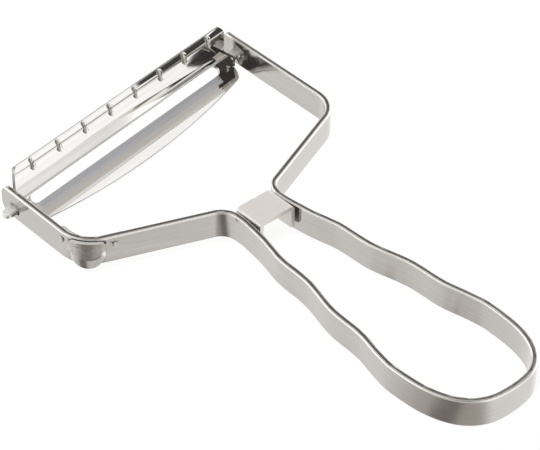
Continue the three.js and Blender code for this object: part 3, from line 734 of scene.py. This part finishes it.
def studio_world(scene, stage):
    """A white studio with an unlit side and a few darker parts, as steel needs to show its form.

    The camera sees plain white. Turns are measured from the middle of the unlit side.
    """
    world = bpy.data.worlds.new("White studio")
    scene.world = world
    world.use_nodes = True
    tree = world.node_tree
    background = tree.nodes["Background"]
    way = tree.nodes.new("ShaderNodeTexCoord").outputs["Generated"]
    dark_x, dark_y = math.cos(stage.dark_azimuth), math.sin(stage.dark_azimuth)
    across = add_dot(tree, way, (-dark_y, dark_x, 0))
    turn = add_math(tree, "ARCTAN2", across, add_dot(tree, way, (dark_x, dark_y, 0)))
    height = add_dot(tree, way, (0, 0, 1))
    lean_height = -0.69

    def at_heights(mask, heights, soft):
        """Keeps a mask between two heights."""
        return add_math(tree, "MULTIPLY", mask, add_window(tree, height, *heights, soft))

    def turned(turns, soft, heights, height_soft, lean=0):
        """A part between two turns, in degrees, and two heights; lean: turn per height."""
        moved = add_math(tree, "SUBTRACT", turn, add_math(tree, "MULTIPLY", height, math.radians(lean)))
        low, high = (math.radians(angle) for angle in turns)
        return at_heights(add_window(tree, moved, low, high, math.radians(soft)), heights, height_soft)

    def leaning(low, high, heights, height_soft):
        """A part between two sides, each with its turn at lean_height, softness and turn per height."""
        above = add_math(tree, "SUBTRACT", height, lean_height)
        sides = []
        for (angle, soft, lean), start in ((low, 0), (high, 1)):
            moved = add_math(tree, "SUBTRACT", turn, add_math(tree, "MULTIPLY", above, math.radians(lean)))
            ends = math.radians(angle - soft), math.radians(angle + soft)
            sides.append(add_range(tree, moved, *ends, start, 1 - start))
        return at_heights(add_math(tree, "MULTIPLY", *sides), heights, height_soft)

    def around(azimuth, elevation, inner, outer):
        """A round part with a soft border, all in degrees, the azimuth from X."""
        azimuth, elevation = math.radians(azimuth), math.radians(elevation)
        level = math.cos(elevation)
        middle = (level * math.cos(azimuth), level * math.sin(azimuth), math.sin(elevation))
        ends = math.cos(math.radians(outer)), math.cos(math.radians(inner))
        return add_range(tree, add_dot(tree, way, middle), *ends, 0, 1)

    below = {"heights": (-0.78, -0.46), "height_soft": 0.06}
    parts = (
        # The unlit side below the horizon, its darker middle, its foot and its paler upper part
        (leaning(low=(-52, 24, 840), high=(75, 28, -200), **below), 0.55),
        (leaning(low=(-21, 9, 400), high=(18, 10, 400), **below), 0.45),
        (turned(turns=(-36, 6), soft=20, heights=(-1.2, -0.8), height_soft=0.05), 0.25),
        (turned(turns=(-32, 62), soft=12, heights=(-0.46, 0.5), height_soft=0.06), 0.6),
        # Black strips, which the cheek and the edges of the strip mirror
        (turned(turns=(0, 60), soft=8, heights=(-0.6, -0.5), height_soft=0.03), 0.06),
        (turned(turns=(0, 60), soft=8, heights=(0.5, 0.88), height_soft=0.03), 0.06),
        # Small black parts, which the right end of the guard mirrors
        (turned(turns=(121, 127), soft=0.12, heights=(-0.1, 0.22), height_soft=0.03), 0.05),
        (turned(turns=(160.56, 166), soft=0.03, heights=(-0.5885, -0.5), height_soft=0.0003, lean=47), 0.03),
        (turned(turns=(124.9, 128), soft=0.2, heights=(-0.45, -0.25), height_soft=0.02), 0.02),
        # Bright panels and round dark parts, which edges, bends and flat tops mirror
        (turned(turns=(-110, -20), soft=15, heights=(-0.05, 0.45), height_soft=0.08), 1.8),
        (around(azimuth=132, elevation=41, inner=8, outer=15), 0.1),
        (turned(turns=(133, 178), soft=5, heights=(-0.2, 0.36), height_soft=0.08), 1.7),
        (around(azimuth=50, elevation=41, inner=7, outer=12), 0.15),
        (around(azimuth=-31, elevation=38, inner=12, outer=30), 0.5),
        # Overhead, underneath and just below the horizon
        (add_window(tree, height, low=0.9, high=1.5, soft=0.05), 0.6),
        (add_window(tree, height, low=-1.5, high=-0.82, soft=0.06), 0.6),
        (add_window(tree, height, low=-0.36, high=-0.14, soft=0.08), 0.8),
    )
    # The room is a little brighter towards X, and each part dims or brightens it
    light = add_range(tree, add_dot(tree, way, (1, 0, 0)), -1, 1, 0.94, 1.1)
    for mask, level in parts:
        light = add_math(tree, "MULTIPLY", light, add_range(tree, mask, 0, 1, 1, level))
    path = tree.nodes.new("ShaderNodeLightPath")
    plain = tree.nodes.new("ShaderNodeMix")
    plain.inputs["B"].default_value = 1.0
    tree.links.new(path.outputs["Is Camera Ray"], plain.inputs["Factor"])
    tree.links.new(light, plain.inputs["A"])
    tree.links.new(plain.outputs["Result"], background.inputs["Strength"])
    paleness = add_range(tree, plain.outputs["Result"], 0.45, 1, 0, 1)
    warm, white = (1, 0.95, 0.9, 1), (1, 1, 1, 1)
    tree.links.new(add_color_mix(tree, paleness, warm, white), background.inputs["Color"])


def floor_material():
    """A pale floor that looks white, takes the peeler's shadow and is clear from below."""
    material = bpy.data.materials.new("White board")
    material.use_nodes = True
    tree = material.node_tree
    shader = tree.nodes["Principled BSDF"]
    shader.inputs["Base Color"].default_value = FLOOR_COLOR
    shader.inputs["Roughness"].default_value = 1.0
    shader.inputs["Specular IOR Level"].default_value = 0.0
    shader.inputs["Emission Color"].default_value = (1, 1, 1, 1)
    path = tree.nodes.new("ShaderNodeLightPath")
    glow = add_math(tree, "MULTIPLY", path.outputs["Is Camera Ray"], FLOOR_GLOW)
    tree.links.new(glow, shader.inputs["Emission Strength"])
    from_below = tree.nodes.new("ShaderNodeNewGeometry").outputs["Backfacing"]
    mix = tree.nodes.new("ShaderNodeMixShader")
    tree.links.new(add_math(tree, "MULTIPLY", from_below, path.outputs["Is Camera Ray"]), mix.inputs[0])
    tree.links.new(shader.outputs["BSDF"], mix.inputs[1])
    tree.links.new(tree.nodes.new("ShaderNodeBsdfTransparent").outputs["BSDF"], mix.inputs[2])
    tree.links.new(mix.outputs["Shader"], tree.nodes["Material Output"].inputs["Surface"])
    return material


class PEELER_OT_stage(bpy.types.Operator):
    """Sets the camera, the floor and the soft light"""

    bl_idname = "peeler.stage"
    bl_label = "Stage"

    def execute(self, context):
        scene, stage = context.scene, context.scene.peeler_stage
        scene.view_settings.view_transform = "Standard"
        azimuth, elevation, roll = stage.azimuth, stage.elevation, stage.roll
        level = Vector((math.sin(azimuth), math.cos(azimuth), 0))
        right = Vector((math.cos(azimuth), -math.sin(azimuth), 0))
        forward = level * math.cos(elevation) - Vector((0, 0, math.sin(elevation)))
        up = level * math.sin(elevation) + Vector((0, 0, math.cos(elevation)))
        rolled_right = right * math.cos(roll) + up * math.sin(roll)
        rolled_up = up * math.cos(roll) - right * math.sin(roll)
        bridge_low, bridge_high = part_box("neck_bridge")
        strip_low, strip_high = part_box("frame_strip")
        neck = Vector((0, (bridge_low.y + bridge_high.y) / 2, strip_high.z))
        aim = neck + Vector(stage.aim)

        bpy.ops.object.camera_add(location=aim - forward * stage.distance)
        camera = context.object
        camera.name = "photo_camera"
        camera.rotation_euler = Matrix((rolled_right, rolled_up, -forward)).transposed().to_euler()
        camera.data.lens = stage.lens
        camera.data.sensor_width = SENSOR_WIDTH_MM
        camera.data.clip_start = CLIP_START
        scene.camera = camera

        tip = lowest_of("cutter")
        tilt = math.atan2(tip.z - strip_low.z, tip.y - strip_low.y)
        near, far = strip_low.y - stage.floor_lip, strip_high.y + stage.floor_margin
        middle = (near + far) / 2
        level_there = tip.z + math.tan(tilt) * (middle - tip.y)
        bpy.ops.mesh.primitive_plane_add(
            size=1, location=(0, middle, level_there - FLOOR_GAP), rotation=(tilt, 0, 0)
        )
        floor = context.object
        floor.name = "white_board"
        width = strip_high.x - strip_low.x + 2 * stage.floor_margin
        floor.scale = (width, (far - near) / math.cos(tilt), 1)
        floor.data.materials.append(floor_material())
        floor.visible_glossy = False

        lamp_way = Vector(LAMP_WAY).normalized()
        bpy.ops.object.light_add(type="AREA", location=aim + lamp_way * LAMP_DISTANCE)
        lamp = context.object
        lamp.name = "overhead_softbox"
        lamp.rotation_euler = lamp_way.to_track_quat("Z", "Y").to_euler()
        lamp.data.shape = "RECTANGLE"
        lamp.data.size = LAMP_SIZE
        lamp.data.size_y = LAMP_SIZE
        lamp.data.energy = stage.lamp_power
        lamp.visible_glossy = False
        studio_world(scene, stage)
        return {"FINISHED"}


# Panel and registration

OPERATORS = (
    PEELER_OT_frame_strip,
    PEELER_OT_neck_bridge,
    PEELER_OT_eye_scoop,
    PEELER_OT_rivets,
    PEELER_OT_cutter,
    PEELER_OT_stage,
)


class PEELER_PT_sidebar(bpy.types.Panel):
    """Lists the pieces of the peeler and their settings"""

    bl_idname = "PEELER_PT_sidebar"
    bl_label = "Peeler"
    bl_space_type = "VIEW_3D"
    bl_region_type = "UI"
    bl_category = "Peeler"

    def draw(self, context):
        column = self.layout.column()
        for operator in OPERATORS:
            column.operator(operator.bl_idname)
        for settings in (context.scene.peeler_finish, context.scene.peeler_shape, context.scene.peeler_stage):
            for name in settings.__annotations__:
                column.prop(settings, name)


SETTINGS = (
    ("peeler_finish", PeelerFinish),
    ("peeler_shape", PeelerShape),
    ("peeler_stage", PeelerStage),
)
CLASSES = (PeelerFinish, PeelerShape, PeelerStage, *OPERATORS, PEELER_PT_sidebar)


def register():
    for cls in CLASSES:
        bpy.utils.register_class(cls)
    for name, group in SETTINGS:
        setattr(bpy.types.Scene, name, PointerProperty(type=group))


def unregister():
    for name, _ in SETTINGS:
        delattr(bpy.types.Scene, name)
    for cls in reversed(CLASSES):
        bpy.utils.unregister_class(cls)


def main():
    register()
    bpy.ops.peeler.stage()
    bpy.ops.peeler.frame_strip()
    bpy.ops.peeler.neck_bridge()
    bpy.ops.peeler.eye_scoop()
    bpy.ops.peeler.rivets()
    bpy.ops.peeler.cutter()


if __name__ == "__main__":
    main()
